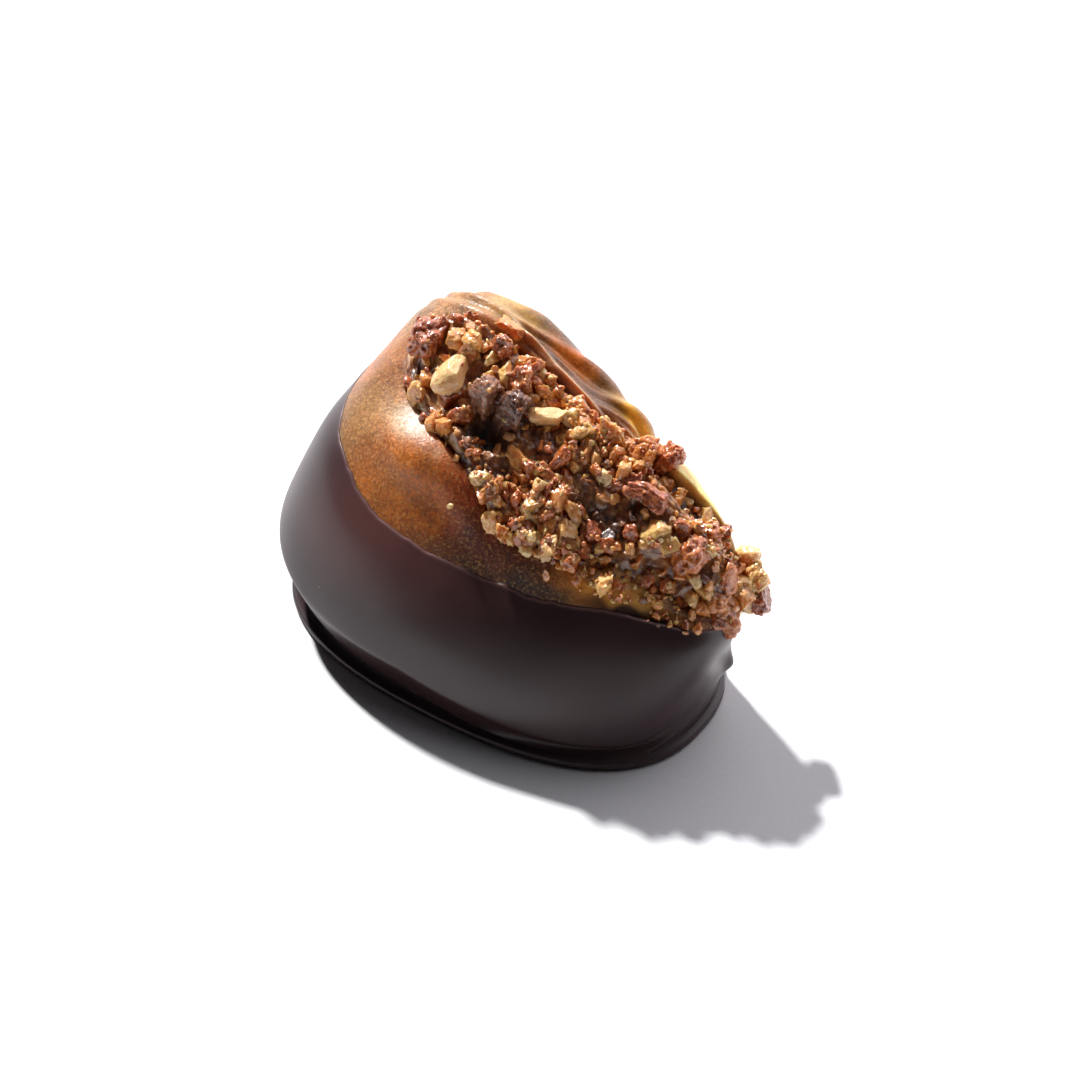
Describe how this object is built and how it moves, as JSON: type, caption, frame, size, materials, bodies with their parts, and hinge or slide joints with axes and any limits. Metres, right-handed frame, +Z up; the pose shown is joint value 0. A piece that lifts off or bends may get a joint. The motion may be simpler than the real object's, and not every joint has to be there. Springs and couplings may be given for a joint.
{
  "type": "pecan stuffed date",
  "caption": "Whole date slit along the top, filled with chopped sticky pecans and dipped up to its shoulders in dark chocolate with a flat foot.",
  "frame": {"origin": "on the flat chocolate foot, midway along it, at the surface the sweet rests on", "axes": "+X along the date to its narrow nose, +Z up out of the slit, +Y across to the far side"},
  "size_m": [0.0439, 0.0254, 0.0267],
  "materials": {
    "date_skin": "translucent amber-brown fruit skin with a fine sugary bloom",
    "dark_chocolate": "satin dark chocolate, smooth, with a thin rim and foot",
    "chopped_pecan": "sticky chopped nut, pale to red-brown, with glossy specks"
  },
  "bodies": {
    "root": {"date_fruit": "date_skin", "chocolate_coat": "dark_chocolate", "pecan_filling": "chopped_pecan"}
  },
  "joints": []
}
